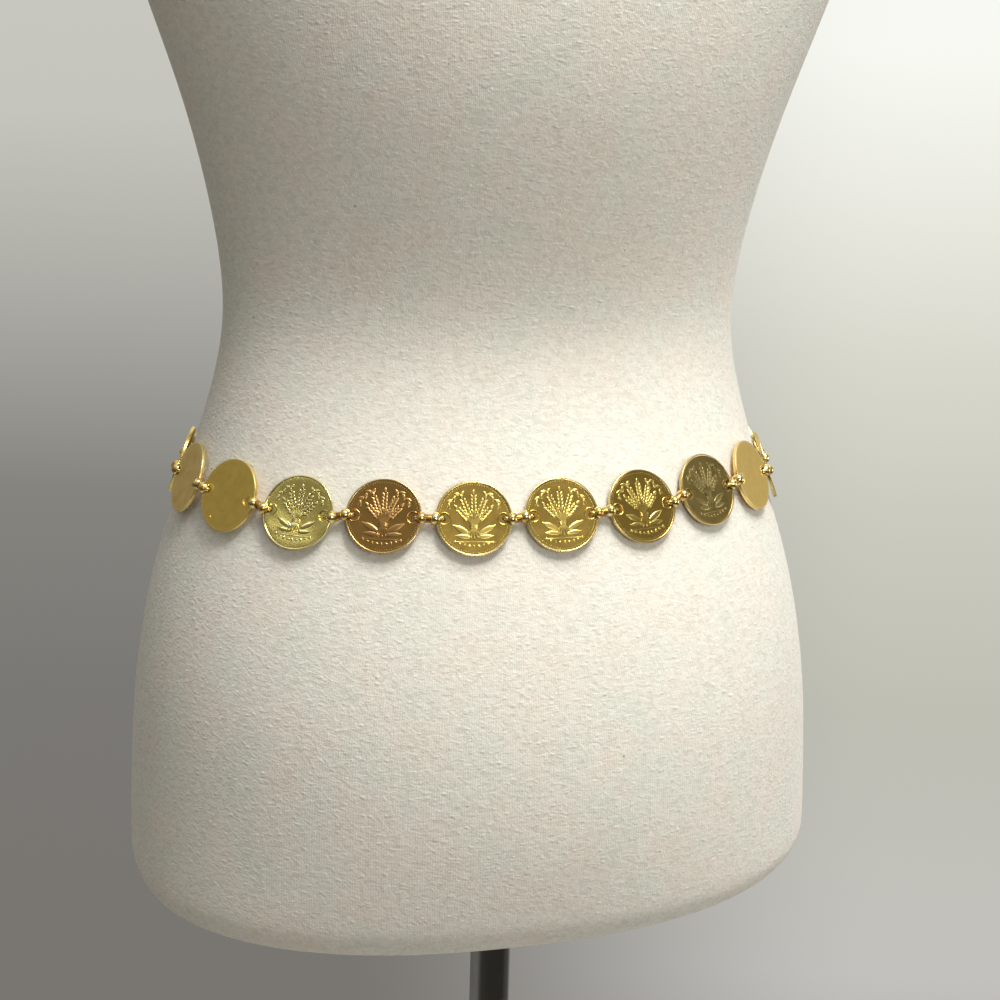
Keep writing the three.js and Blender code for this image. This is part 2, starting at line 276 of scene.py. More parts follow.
near_side = add_node(room, "ValToRGB", {0: lift}, stops=[
    (0.3, "#46423b"), (0.42, "#504c44"), (0.5, "#6e675b"),
    (0.62, "#857e71"), (0.76, "#8b867b"), (0.84, "#a4a199")])
from_left = add_node(room, "MapRange", {0: sideways, 1: -0.65, 2: -0.2, 3: 0.86, 4: 0.62})
near_side = add_node(
    room, "Mix", {0: 1.0, 6: near_side, 7: from_left}, data_type="RGBA", blend_type="MULTIPLY")
# a pale stretch low on the left, which the pole mirrors as its light edge
low_down = add_node(room, "MapRange", {0: skyward, 1: -0.45, 2: -0.25, 3: 1.0, 4: 0.0})
pale_left = add_node(room, "MapRange", {0: sideways, 1: -0.95, 2: -0.75, 3: 1.0, 4: 0.0})
low_left = add_node(room, "Math", {0: low_down, 1: pale_left}, operation="MULTIPLY")
near_side = add_node(room, "Mix", {0: low_left, 6: near_side, 7: linear("#96938b")}, data_type="RGBA")
facing = add_node(room, "MapRange", {0: ahead, 1: -0.15, 2: 0.35}, interpolation_type="SMOOTHSTEP")
walls = add_node(room, "Mix", {0: facing, 6: near_side, 7: wall}, data_type="RGBA")
overhead = add_node(room, "MapRange", {0: skyward, 1: 0.72, 2: 0.9}, interpolation_type="SMOOTHSTEP")
seen = add_node(room, "Mix", {0: overhead, 6: walls, 7: linear("#ffffff")}, data_type="RGBA")
backdrop = add_node(room, "Background", {"Color": seen, "Strength": 1.0})
add_node(room, "OutputWorld", {"Surface": backdrop})
bpy.context.scene.view_settings.view_transform = "Standard"
print("world nodes", len(room.nodes))

# %% [markdown]
# ## Floor and light
# The floor is a plain pale disc, just wide enough to carry the stand and its soft shadow. Light in
# the photograph is broad and comes from above and from the right: the tops of the hips are almost
# white, the waist that leans back under the ribs is darkest. Two overhead lamps of medium size give
# that and the soft shadow under each coin; a low window fills the right and a wide fill from the
# front opens the shadows. On the left, a faint card lights that edge of the form, and a small lamp
# is there to be mirrored in the one bright coin.

# %% Floor
floor_radius = 1.1
deselect()
bpy.ops.mesh.primitive_circle_add(vertices=96, radius=floor_radius, fill_type="NGON", location=(0, 0, 0))
floor = settle(bpy.context.object, "pale_floor")
floor_paint, paint = new_material("matt_pale_paint")
spot = add_node(paint, "TexCoord").outputs["Object"]
speckle = add_node(paint, "TexNoise", {"Vector": spot, "Scale": 30.0, "Detail": 5.0})
floor_colour = add_node(paint, "ValToRGB", {0: speckle}, stops=[(0.3, "#b9b6af"), (0.7, "#c3c0b9")])
floor_shader = add_node(paint, "BsdfPrincipled", {"Base Color": floor_colour, "Roughness": 0.8})
add_node(paint, "OutputMaterial", {"Surface": floor_shader})
dress(floor, floor_paint)
floor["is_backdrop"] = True

# %% Lights
# the form's middle stands a little to the left of the pole, which is at the origin
form_axis = Vector((-12, 2.5, 0)) * mm
form_middle = form_axis + Vector((0, 0, 1020)) * mm
flat_toward = Vector((toward.x, toward.y, 0)).normalized()
lamp_colour = "#fffdf8"


def area_light(name, right, up, back, size, power):
    """A lamp as the photographer sees it: metres to the right, up, and back towards the camera."""
    data = bpy.data.lights.new(name, "AREA")
    data.shape = "RECTANGLE"
    data.size, data.size_y = size
    data.energy = power
    data.color = linear(lamp_colour)[:3]
    lamp = bpy.data.objects.new(name, data)
    bpy.context.scene.collection.objects.link(lamp)
    offset = rightward * right + Vector((0, 0, up)) - flat_toward * back
    turn = (-offset).to_track_quat("-Z", "Y").to_matrix().to_4x4()
    lamp.matrix_world = Matrix.Translation(form_middle + offset) @ turn


area_light("top_lamp", 0.25, 1.1, 0.25, (0.4, 0.4), 7.8)
area_light("key_lamp", 0.4, 1.2, 0.65, (0.4, 0.3), 10.3)
area_light("right_window", 1.8, -0.15, 0.05, (0.8, 0.7), 6.0)
area_light("front_fill", 0.6, 0.3, 1.6, (0.9, 0.3), 7.0)
area_light("left_card", -1.6, 0.4, 0.05, (0.6, 0.6), 0.09)
area_light("left_lamp", -1.0, 0.79, 0.85, (0.35, 0.22), 0.36)

# %% [markdown]
# ## Where each coin sits
# The chain is not a flat ring: each coin lies against the curve of the form, leaning and turned a
# little. The CAD coins already have those places, so each one's own frame is read off its mesh:
# its thin direction is the way it faces, and its two holes give the line of the belt.

# %% Read the coins' frames
# distances from a coin's middle: its outer edge, its two holes, and the step inside its rim
outer_edge = 15.2 * mm
hole_band = (9 * mm, 14.15 * mm)
step_band = (14.15 * mm, 14.6 * mm)
coin_names = sorted(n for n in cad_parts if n.startswith("coin_"))
coin_frames, struck_outside = {}, {}
for name in coin_names:
    points = np.array([v.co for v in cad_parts[name].data.vertices], float)
    points = np.unique(points.round(7), axis=0)
    facing_way = np.linalg.svd(points - points.mean(0), full_matrices=False)[2][2]
    middle = (points.max(0) + points.min(0)) / 2
    # the box's middle is a first guess; the mean of the rim's own points settles it in three rounds
    for _ in range(3):
        offset = points - middle
        depth = offset @ facing_way
        flat = offset - depth[:, None] * facing_way
        rim = np.linalg.norm(flat, axis=1) > outer_edge
        middle = points[rim].mean(0)
    outward = Vector(facing_way)
    if outward.dot(Vector(middle) - form_axis - Vector((0, 0, middle[2]))) < 0:
        outward = -outward
    offset = points - middle
    depth = offset @ np.array(outward)
    flat = offset - depth[:, None] * np.array(outward)
    reach = np.linalg.norm(flat, axis=1)
    hole = flat[(reach > hole_band[0]) & (reach < hole_band[1])]
    belt_line = Vector(np.linalg.svd(hole, full_matrices=False)[2][0])
    stands = outward.cross(belt_line)
    if stands.z < 0:
        belt_line, stands = -belt_line, -stands
    step = (reach > step_band[0]) & (reach < step_band[1])
    struck_outside[name] = bool(depth[step].mean() > 0)
    axes = Matrix((belt_line, stands, outward)).transposed().to_4x4()
    coin_frames[name] = Matrix.Translation(Vector(middle)) @ axes
print("struck side out:", [n[-2:] for n in coin_names if struck_outside[n]])

# %% [markdown]
# ## The dress form
# A display form is a moulded torso in a tight jersey cover. The CAD solid has the right shape but
# flat facets, so a copy is merged, turned to quads and subdivided: Catmull-Clark smoothing is what
# turns forty sides into skin. The cover's knit is far too fine for geometry and goes in the material.

# %% Jersey-covered form
form_copy = copied(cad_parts["form"], Matrix.Identity(4), "form_jersey")
form_copy.parent = None
for key in list(form_copy.keys()):
    del form_copy[key]
choose(form_copy)
bpy.ops.object.mode_set(mode="EDIT")
bpy.ops.mesh.select_all(action="SELECT")
bpy.ops.mesh.remove_doubles(threshold=1e-5)
bpy.ops.mesh.tris_convert_to_quads(face_threshold=math.radians(60), shape_threshold=math.radians(80))
bpy.ops.object.mode_set(mode="OBJECT")
add_modifier(form_copy, "SUBSURF", levels=2, render_levels=2)
smooth(form_copy, 60)
stands_for(form_copy, "dressed_form", "form")
print("form triangles", triangles(form_copy))

# %% [markdown]
# ## Ivory jersey
# Cotton and viscose single jersey, stretched over the form: fine upright ribs (wales) about a
# millimetre apart, a fuzzy nap that scatters light, small sideways crinkles and pills where the nap
# has balled, and a few lint specks. Ribs follow the angle round the form; the crinkles are a noise
# stretched sideways, with painted shade in their hollows; pills and stray tufts are sparse Voronoi
# bumps, and the tufts carry a painted highlight. Sheen gives the soft bright edge of nap.

# %% Jersey pattern
jersey, cloth = new_material("ivory_cotton_jersey")
spot = add_node(cloth, "TexCoord").outputs["Object"]
centred = add_node(cloth, "Mapping", {"Vector": spot, "Location": tuple(-c for c in form_axis)})
split = add_node(cloth, "SeparateXYZ", {0: centred})
turn = add_node(cloth, "Math", {0: split.outputs["Y"], 1: split.outputs["X"]}, operation="ARCTAN2")
# 820 wales round a hip of 0.9 m are 1.1 mm apart, a little coarser than real so that they show
wale_phase = add_node(cloth, "Math", {0: turn, 1: 820.0}, operation="MULTIPLY")
wales = add_node(cloth, "Math", {0: wale_phase}, operation="SINE")
squeezed = add_node(cloth, "Mapping", {"Vector": spot, "Scale": (1.0, 1.0, 1.7)})
# noise scale is in cells a metre: 300 makes crinkles 3.3 mm long and 2 mm tall after the squeeze
crinkle = add_node(cloth, "TexNoise", {
    "Vector": squeezed, "Scale": 300.0, "Detail": 3.0, "Roughness": 0.65, "Distortion": 0.7})
nap = add_node(cloth, "TexNoise", {"Vector": spot, "Scale": 900.0, "Detail": 2.0, "Roughness": 0.7})

# %% Pills, lint and patches
pill = add_node(
    cloth, "TexVoronoi", {"Vector": squeezed, "Scale": 320.0, "Randomness": 1.0}, feature="F1")
pill_choice = add_node(cloth, "SeparateColor", {0: pill.outputs["Color"]})
pill_dome = add_node(cloth, "MapRange", {
    0: pill.outputs["Distance"], 1: 0.05, 2: 0.5, 3: 1.0, 4: 0.0}, interpolation_type="SMOOTHSTEP")
pill_kept = add_node(cloth, "MapRange", {0: pill_choice.outputs[0], 1: 0.3, 2: 1.0})
pills = add_node(cloth, "Math", {0: pill_dome, 1: pill_kept}, operation="MULTIPLY")
# stray tufts of fibre 1.5 mm apart, one in eight standing up enough to catch the light
tuft = add_node(cloth, "TexVoronoi", {"Vector": spot, "Scale": 700.0, "Randomness": 1.0}, feature="F1")
tuft_choice = add_node(cloth, "SeparateColor", {0: tuft.outputs["Color"]})
tuft_kept = add_node(cloth, "Math", {0: tuft_choice.outputs[2], 1: 0.87}, operation="GREATER_THAN")
tuft_dome = add_node(cloth, "MapRange", {
    0: tuft.outputs["Distance"], 1: 0.0, 2: 0.5, 3: 1.0, 4: 0.0}, interpolation_type="SMOOTHSTEP")
tufts = add_node(cloth, "Math", {0: tuft_dome, 1: tuft_kept}, operation="MULTIPLY")
lint = add_node(cloth, "TexVoronoi", {"Vector": spot, "Scale": 75.0, "Randomness": 1.0}, feature="F1")
lint_choice = add_node(cloth, "SeparateColor", {0: lint.outputs["Color"]})
lint_near = add_node(cloth, "Math", {0: lint.outputs["Distance"], 1: 0.045}, operation="LESS_THAN")
lint_kept = add_node(cloth, "Math", {0: lint_choice.outputs[1], 1: 0.8}, operation="GREATER_THAN")
lint_spot = add_node(cloth, "Math", {0: lint_near, 1: lint_kept}, operation="MULTIPLY")
lint_tone = add_node(cloth, "Math", {0: lint_spot, 1: 0.45}, operation="MULTIPLY")
# faint pink and green patches 22 mm across, as undyed cotton has
patches = add_node(cloth, "TexNoise", {"Vector": spot, "Scale": 45.0, "Detail": 3.0, "Roughness": 0.55})

# %% Jersey colour and relief
base = add_node(cloth, "ValToRGB", {0: patches}, stops=[
    (0.32, "#f0e9df"), (0.5, "#eeebe2"), (0.68, "#eaebe1")])
# painted shade: the colour follows the crinkle noise and darkens where the crinkle bump is low, in its
# hollows
crinkle_shade = add_node(cloth, "ValToRGB", {0: crinkle}, stops=[
    (0.35, "#d2cfc8"), (0.5, "#f1efea"), (0.65, "#ffffff")])
shaded = add_node(cloth, "Mix", {0: 0.4, 6: base, 7: crinkle_shade}, data_type="RGBA", blend_type="MULTIPLY")
# painted highlight: the standing tufts are mixed towards white, as if they caught the light
tuft_highlight = add_node(cloth, "Math", {0: tufts, 1: 0.7}, operation="MULTIPLY")
shaded = add_node(cloth, "Mix", {0: tuft_highlight, 6: shaded, 7: linear("#ffffff")}, data_type="RGBA")
speckled = add_node(cloth, "Mix", {0: lint_tone, 6: shaded, 7: linear("#6f6a5e")}, data_type="RGBA")
low_relief = add_node(cloth, "Math", {0: wales, 1: 0.03}, operation="MULTIPLY")
low_relief = add_node(cloth, "Math", {0: crinkle, 1: 1.0, 2: low_relief}, operation="MULTIPLY_ADD")
low_relief = add_node(cloth, "Math", {0: pills, 1: 0.45, 2: low_relief}, operation="MULTIPLY_ADD")
low_relief = add_node(cloth, "Math", {0: nap, 1: 0.4, 2: low_relief}, operation="MULTIPLY_ADD")
low_relief = add_node(cloth, "Math", {0: tufts, 1: 0.2, 2: low_relief}, operation="MULTIPLY_ADD")
bump = add_node(cloth, "Bump", {"Height": low_relief, "Strength": 1.0, "Distance": 0.37 * mm})
knit = add_node(cloth, "BsdfPrincipled", {
    "Base Color": speckled, "Roughness": 0.95, "Normal": bump, "IOR": 1.5,
    "Specular IOR Level": 0.2, "Sheen Weight": 0.2, "Sheen Roughness": 0.5,
})
add_node(cloth, "OutputMaterial", {"Surface": knit})
dress(form_copy, jersey)
print("jersey nodes", len(cloth.nodes))

# %% [markdown]
# ## Chrome
# The pole and the base are steel with bright chrome plating. Chrome is nearly neutral, a touch cool,
# and so smooth that only hairline polishing marks and a thin bloom of handling break the mirror.

# %% Chrome material
chrome, plating = new_material("polished_chrome_plate")
spot = add_node(plating, "TexCoord").outputs["Object"]
drawn = add_node(plating, "Mapping", {"Vector": spot, "Scale": (1.0, 1.0, 0.03)})
hairlines = add_node(plating, "TexNoise", {"Vector": drawn, "Scale": 2500.0, "Detail": 2.0})
bloom = add_node(plating, "TexNoise", {"Vector": spot, "Scale": 45.0, "Detail": 4.0})
gloss = add_node(plating, "MapRange", {0: bloom, 1: 0.3, 2: 0.75, 3: 0.06, 4: 0.14})
tint = add_node(plating, "ValToRGB", {0: bloom}, stops=[(0.3, "#bfc1c3"), (0.7, "#cbcbc9")])
scratch = add_node(plating, "Bump", {"Height": hairlines, "Strength": 0.25, "Distance": 0.02 * mm})
mirror = add_node(plating, "BsdfPrincipled", {
    "Base Color": tint, "Metallic": 1.0, "Roughness": gloss, "Normal": scratch})
add_node(plating, "OutputMaterial", {"Surface": mirror})

# %% [markdown]
# ## Pole and base
# A plain tube stands in a boss on a round plate. Turned parts like these are profiles spun about an
# axis, so each starts as a fine cylinder and its edges are rounded as a lathe and a polisher would.

# %% Pole
pole_radius, pole_rounding = 9.5 * mm, 1.2 * mm
low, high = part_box("pole")
deselect()
bpy.ops.mesh.primitive_cylinder_add(
    vertices=64, radius=pole_radius, depth=high.z - low.z, location=(0, 0, (high.z + low.z) / 2))
pole = settle(bpy.context.object, "chrome_pole")
bpy.ops.object.mode_set(mode="EDIT")
pick("EDGE", lambda p, n: p.z > high.z - 1 * mm or p.z < low.z + 1 * mm)
bpy.ops.mesh.bevel(offset=pole_rounding, segments=4, affect="EDGES")
bpy.ops.object.mode_set(mode="OBJECT")
smooth(pole, 35)
dress(pole, chrome)
stands_for(pole, "stand", "pole")

# %% Base
base_radius, plate_thickness = 150 * mm, 8 * mm
skirt_radius, boss_radius, boss_height = 22 * mm, 16 * mm, 46 * mm
socket_radius, socket_floor = 9.8 * mm, 4.7 * mm
deselect()
bpy.ops.mesh.primitive_cylinder_add(
    vertices=128, radius=base_radius, depth=plate_thickness, location=(0, 0, plate_thickness / 2))
base_plate = settle(bpy.context.object, "chrome_base")
bpy.ops.object.mode_set(mode="EDIT")
pick("FACE", lambda p, n: n.z > 0.9)
bpy.ops.mesh.inset(thickness=base_radius - skirt_radius)
bpy.ops.mesh.inset(thickness=skirt_radius - boss_radius)
bpy.ops.mesh.extrude_region_move(TRANSFORM_OT_translate={"value": (0, 0, boss_height - plate_thickness)})
bpy.ops.mesh.inset(thickness=boss_radius - socket_radius)
bpy.ops.mesh.extrude_region_move(TRANSFORM_OT_translate={"value": (0, 0, socket_floor - boss_height)})
bpy.ops.object.mode_set(mode="OBJECT")
add_modifier(
    base_plate, "BEVEL", width=2.0 * mm, segments=4, limit_method="ANGLE", angle_limit=math.radians(40))
smooth(base_plate, 35)
dress(base_plate, chrome)
stands_for(base_plate, "stand", "base")
print("pole and base triangles", triangles(pole), triangles(base_plate))

# %% [markdown]
# ## The coin blank
# Each coin is a bronze disc with a thin raised rim on its struck face, a plain smoothed back, and at
# each side a shallow round recess with a small hole through it, where the link is hooked in. The
# blank starts as a fine cylinder: insets make the rim, the step down from it and a dished field,
# because a struck field is never quite flat, and the dish is what makes its reflection change.

# %% Coin blank
coin_radius, half_thick = 15.4 * mm, 1.65 * mm / 2
field_radius, ring_width, field_rings = 14.3 * mm, 2 * mm, 7
dish, edge_rounding = 0.22 * mm, 0.3 * mm
# millimetres across and down, from the coin's edge inwards: a flat rim, its inner slope, a narrow
# level strip that keeps the smooth shading of the slope off the field
rim_steps = [(0.36, 0), (0.34, 0), (0.16, -0.07), (0.12, -0.17), (0.12, 0)]
# the same for the plain back, which is worn a little hollow
back_steps = [(0.36, 0), (1.2, 0), (3.5, -0.02), (3.5, -0.02), (3.5, -0.02)]
deselect()
bpy.ops.mesh.primitive_cylinder_add(vertices=96, radius=coin_radius, depth=2 * half_thick)
blank = settle(bpy.context.object, "coin_blank")
bpy.ops.object.mode_set(mode="EDIT")
pick("FACE", lambda p, n: n.z > 0.9)
for width, down in rim_steps:
    bpy.ops.mesh.inset(thickness=width * mm, depth=down * mm)
field = half_thick + sum(down for _, down in rim_steps) * mm


def dished(reach):
    """How far the field lies below its edge, at a reach from the coin's middle."""
    return dish * (1 - min(reach / field_radius, 1) ** 2)


for ring in range(field_rings):
    outer, inner = field_radius - ring * ring_width, field_radius - (ring + 1) * ring_width
    bpy.ops.mesh.inset(thickness=ring_width, depth=dished(outer) - dished(inner))
pick("FACE", lambda p, n: n.z < -0.9)
for width, down in back_steps:
    bpy.ops.mesh.inset(thickness=width * mm, depth=down * mm)
pick("EDGE", lambda p, n: (
    math.hypot(p.x, p.y) > coin_radius - 0.05 * mm and abs(abs(p.z) - half_thick) < 0.01 * mm))
bpy.ops.mesh.bevel(offset=edge_rounding, segments=4, affect="EDGES")
bpy.ops.object.mode_set(mode="OBJECT")
print("blank triangles", triangles(blank))

# %% Recesses and holes
recess_at, recess_foot, recess_mouth = 11.9 * mm, 1.95 * mm, 2.3 * mm
hole_at, hole_radius = 12.6 * mm, 1.4 * mm
spare_height = 0.4 * mm
cutters = []
for side in (-1, 1):
    for face, deep in ((1, 0.42 * mm), (-1, 0.3 * mm)):
        surface = field - dished(recess_at) if face > 0 else -half_thick
        deselect()
        bpy.ops.mesh.primitive_cone_add(
            vertices=32, radius1=recess_foot, radius2=recess_mouth, depth=deep + spare_height)
        cutter = settle(bpy.context.object, "recess_cutter")
        if face < 0:
            cutter.data.transform(Matrix.Rotation(math.pi, 4, "X"))
        middle_z = surface + face * (spare_height - deep) / 2
        cutter.data.transform(Matrix.Translation((side * recess_at, 0, middle_z)))
        cutters.append(cutter)
recess = joined(cutters, "recesses")
drills = []
for side in (-1, 1):
    deselect()
    bpy.ops.mesh.primitive_cylinder_add(
        vertices=24, radius=hole_radius, depth=4 * mm, location=(side * hole_at, 0, 0))
    drills.append(settle(bpy.context.object, "drill"))
drill = joined(drills, "drills")
for tool in (recess, drill):
    add_modifier(blank, "BOOLEAN", object=tool, operation="DIFFERENCE", solver="EXACT")
    bpy.data.objects.remove(tool)
print("drilled blank triangles", triangles(blank))

# %% [markdown]
# ## The struck design
# Each coin carries a plain harvest design: a tied wheat sheaf between two broad leaves on a ground
# line, with laurel sprays round the upper field. Raised forms a few tenths of a millimetre high are
# pillows, so a grain, a leaf and a stalk are modelled once and copied around.


# %% One grain, leaf, stalk and bead
def pillow(name, length, width, rise, point=0.0, segments=10, rings=6):
    """A half-sunk pillow lying along Y with a flattened top, drawn in to a point at its +Y end."""
    deselect()
    bpy.ops.mesh.primitive_uv_sphere_add(
        segments=segments, ring_count=rings, radius=0.5, rotation=(math.pi / 2, 0, 0))
    piece = settle(bpy.context.object, name)
    bpy.ops.object.mode_set(mode="EDIT")
    bpy.ops.mesh.select_all(action="SELECT")
    bpy.ops.transform.resize(value=(width, length, 3 * rise))
    for level in (0.2, 0.35, 0.46):
        pick("VERT", lambda p, n: p.y > level * length)
        bpy.ops.transform.resize(value=(1 - point, 1, 1 - 0.5 * point), center_override=(0, 0, 0))
    pick("VERT", lambda p, n: p.z > rise)
    bpy.ops.transform.resize(value=(1, 1, 0), center_override=(0, 0, rise))
    bpy.ops.object.mode_set(mode="OBJECT")
    return piece


grain = pillow("grain", 2.4 * mm, 1.3 * mm, 0.22 * mm, point=0.22)
leaf = pillow("leaf", 3.0 * mm, 1.35 * mm, 0.19 * mm, point=0.3)
blade = pillow("blade", 8.4 * mm, 2.7 * mm, 0.23 * mm, point=0.28, segments=12, rings=12)
stalk = pillow("stalk", 1.0 * mm, 1.0 * mm, 1.0 * mm, segments=8, rings=8)
bead = pillow("bead", 0.5 * mm, 0.5 * mm, 0.16 * mm, segments=6, rings=4)
print("grain, leaf, blade, bead triangles", *[triangles(p) for p in (grain, leaf, blade, bead)])


# %% Lay out the sheaf
sunk = 0.05  # millimetres that each raised form sinks into the field, so that no gap shows


def laid(piece, x, y, turn=0.0, size=(1, 1, 1), lift=0.0):
    """A copy on the coin's field at x, y in millimetres, turned by degrees from upright."""
    level = field - dished(math.hypot(x, y) * mm) + (lift - sunk) * mm
    place = Matrix.Translation((x * mm, y * mm, level)) @ Matrix.Rotation(-math.radians(turn), 4, "Z")
    return copied(piece, place @ Matrix.Diagonal((*size, 1)))


motifs = []
tie = Vector((0.0, -3.2))
# each ear leans from the tie, on a stalk that runs on below it; reach is the tie to the first grain
ears = [(-42, 4.4, 4), (-22, 5.4, 5), (0, 6.2, 5), (22, 5.4, 5), (42, 4.4, 4)]
grain_step, grain_aside, grain_lean = 1.45, 0.68, 22
for lean, reach, pairs in ears:
    slope = math.radians(lean)
    way = Vector((math.sin(slope), math.cos(slope)))
    hand_way = Vector((way.y, -way.x))
    middle = tie + way * reach * 0.5
    motifs.append(laid(stalk, middle.x, middle.y, lean, (0.6, reach + 2.0, 0.34)))
    foot = tie - Vector((math.sin(slope * 0.8), math.cos(slope * 0.8))) * 2.6
    motifs.append(laid(stalk, foot.x, foot.y, lean * 0.8, (0.85, 6.2, 0.4)))
    for step in range(pairs):
        at = tie + way * (reach + step * grain_step)
        for hand in (-1, 1):
            beside = at + hand_way * hand * grain_aside
            motifs.append(laid(grain, beside.x, beside.y, lean + hand * grain_lean))
    top = tie + way * (reach + pairs * grain_step + 0.5)
    motifs.append(laid(grain, top.x, top.y, lean, lift=0.03))
for lean in (-32, -11, 11, 32):
    slope = math.radians(lean)
    at = tie + Vector((math.sin(slope), math.cos(slope))) * 2.6
    motifs.append(laid(stalk, at.x, at.y, lean, (0.8, 5.6, 0.3)))
for row in (-0.55, 0.0, 0.55):
    motifs.append(laid(stalk, 0.0, tie.y - 0.2 + row, 90, (0.75, 4.2, 0.55)))
print("sheaf parts", len(motifs))

# %% Lay out the leaves, the ground and the border
for hand in (-1, 1):
    motifs.append(laid(blade, hand * 5.3, -4.4, hand * 62))
    motifs.append(laid(blade, hand * 4.6, -7.3, hand * 84, (0.8, 0.85, 0.9)))
    for step in range(5):
        bearing = hand * (25 + step * 9.5)
        reach = 12.0 if step % 2 else 11.0
        x, y = reach * math.sin(math.radians(bearing)), reach * math.cos(math.radians(bearing))
        motifs.append(laid(leaf, x, y, bearing + hand * (52 if step % 2 else 128)))
    bearings = [hand * (22 + share * 4.5) for share in range(11)]
    for bearing in bearings:
        x, y = 11.5 * math.sin(math.radians(bearing)), 11.5 * math.cos(math.radians(bearing))
        motifs.append(laid(stalk, x, y, bearing + 90, (0.35, 1.4, 0.2)))
motifs.append(laid(stalk, 0, -9.5, 90, (0.6, 19.0, 0.34)))
for step in range(-4, 5):
    x = step * 1.9
    motifs.append(laid(leaf, x, -11.2 + 0.05 * x * x * 0.6, 90 if step % 2 else 0, (0.75, 0.5, 0.9)))
bead_count, bead_ring = 90, 13.85
for step in range(bead_count):
    bearing = 2 * math.pi * step / bead_count
    motifs.append(laid(bead, bead_ring * math.cos(bearing), bead_ring * math.sin(bearing)))
for spare in (grain, leaf, bead, stalk, blade):
    bpy.data.objects.remove(spare)

# %% Keep the design off the recesses, and give each recess its lip
clear_of_recess = 3.1 * mm
lip_radius, lip_half_width, lip_cut = 2.4 * mm, 0.18 * mm, 1.3 * mm
for piece in list(motifs):
    corners = np.array([v.co for v in piece.data.vertices])
    centre = (corners.max(0) + corners.min(0)) / 2
    if min(math.hypot(centre[0] - side * recess_at, centre[1]) for side in (-1, 1)) < clear_of_recess:
        motifs.remove(piece)
        bpy.data.objects.remove(piece)
deselect()
bpy.ops.mesh.primitive_torus_add(
    major_segments=40, minor_segments=8, major_radius=lip_radius, minor_radius=lip_half_width)
lip = settle(bpy.context.object, "recess_lip")
bpy.ops.object.mode_set(mode="EDIT")
bpy.ops.mesh.select_all(action="SELECT")
bpy.ops.mesh.bisect(plane_co=(lip_cut, 0, 0), plane_no=(1, 0, 0), use_fill=True, clear_outer=True)
bpy.ops.object.mode_set(mode="OBJECT")
for side in (-1, 1):
    spin = Matrix.Rotation(0 if side > 0 else math.pi, 4, "Z")
    struck = Matrix.Translation((side * recess_at, 0, field - dished(recess_at)))
    plain = Matrix.Translation((side * recess_at, 0, -half_thick + 0.02 * mm))
    motifs.append(copied(lip, struck @ spin))
    motifs.append(copied(lip, plain @ spin @ Matrix.Diagonal((1, 1, 0.4, 1))))
bpy.data.objects.remove(lip)

# %% Join the coin
relief_piece = joined(motifs, "relief")
worn = relief_piece.data.attributes.new("worn", "FLOAT", "POINT")
worn.data.foreach_set("value", np.ones(len(relief_piece.data.vertices), np.float32))
# the edge mark carries a painted reflection: rim and side wall are made paler, as if mirroring the pale
# jersey
edge = blank.data.attributes.new("edge", "FLOAT", "POINT")
at_edge = [float(math.hypot(v.co.x, v.co.y) > step_band[1]) for v in blank.data.vertices]
edge.data.foreach_set("value", at_edge)
coin_master = joined([relief_piece, blank], "coin_master")
smooth(coin_master, 42)
print("coin triangles", triangles(coin_master))

# %% [markdown]
# ## Gold plate
# The coins are bronze with a thin electroplated gold skin. Plating follows the strike, so it is
# bright on the raised parts where handling polishes it and duller and greener in the fields, and the
# bronze underneath warms it where it is worn. Base colour carries the tone, since a metal has no
# other; roughness has soft patches and fine hairlines. Rims and edges are painted paler, a painted
# reflection of the pale jersey. Each coin in the photo has its own tone, and the bright, coppery,
# dark and pale coins carry painted reflection and light in theirs, so one function mixes the finish
# from a field colour, a raised colour, a rim colour and a roughness.


# %% Gold materials
def gold_plate(name, field_colour, high_colour, rim_reflection_colour, rough, wave):
    material, tree = new_material(name)
    spot = add_node(tree, "TexCoord").outputs["Object"]
    raised = add_node(tree, "Attribute", attribute_name="worn").outputs["Fac"]
    # patina patches 5 mm across, polishing streaks 0.3 mm apart, and a swell of the field 10 mm long
    patina = add_node(tree, "TexNoise", {
        "Vector": spot, "Scale": 200.0, "Detail": 5.0, "Roughness": 0.6})
    drawn = add_node(tree, "Mapping", {"Vector": spot, "Scale": (1.0, 1.0, 0.08)})
    wear = add_node(tree, "TexNoise", {"Vector": drawn, "Scale": 3200.0, "Detail": 2.0})
    swell = add_node(tree, "TexNoise", {"Vector": spot, "Scale": 100.0, "Detail": 1.0})
    share = add_node(tree, "MapRange", {0: patina, 1: 0.3, 2: 0.7, 3: 0.25, 4: 0.0})
    flat_tone = add_node(
        tree, "Mix", {0: share, 6: linear(field_colour), 7: linear("#a97d3c")}, data_type="RGBA")
    tone = add_node(tree, "Mix", {0: raised, 6: flat_tone, 7: linear(high_colour)}, data_type="RGBA")
    # painted reflection: rim and edge are mixed towards the paler rim colour, standing in for the jersey
    # they mirror
    edge_reflection_share = add_node(tree, "Attribute", attribute_name="edge").outputs["Fac"]
    tone = add_node(tree, "Mix", {0: edge_reflection_share, 6: tone, 7: linear(rim_reflection_colour)}, data_type="RGBA")
    flat_gloss = add_node(tree, "MapRange", {
        0: patina, 1: 0.3, 2: 0.7, 3: rough * 1.15, 4: rough * 0.85})
    gloss = add_node(tree, "Math", {0: raised, 1: rough * 0.3, 2: flat_gloss}, operation="MULTIPLY_ADD")
    fine = add_node(tree, "Bump", {"Height": wear, "Strength": 0.3, "Distance": 0.03 * mm})
    soft = add_node(tree, "Bump", {
        "Height": swell, "Strength": 1.0, "Distance": wave * mm, "Normal": fine})
    metal = add_node(tree, "BsdfPrincipled", {
        "Base Color": tone, "Metallic": 1.0, "Roughness": gloss, "Normal": soft})
    add_node(tree, "OutputMaterial", {"Surface": metal})
    return material
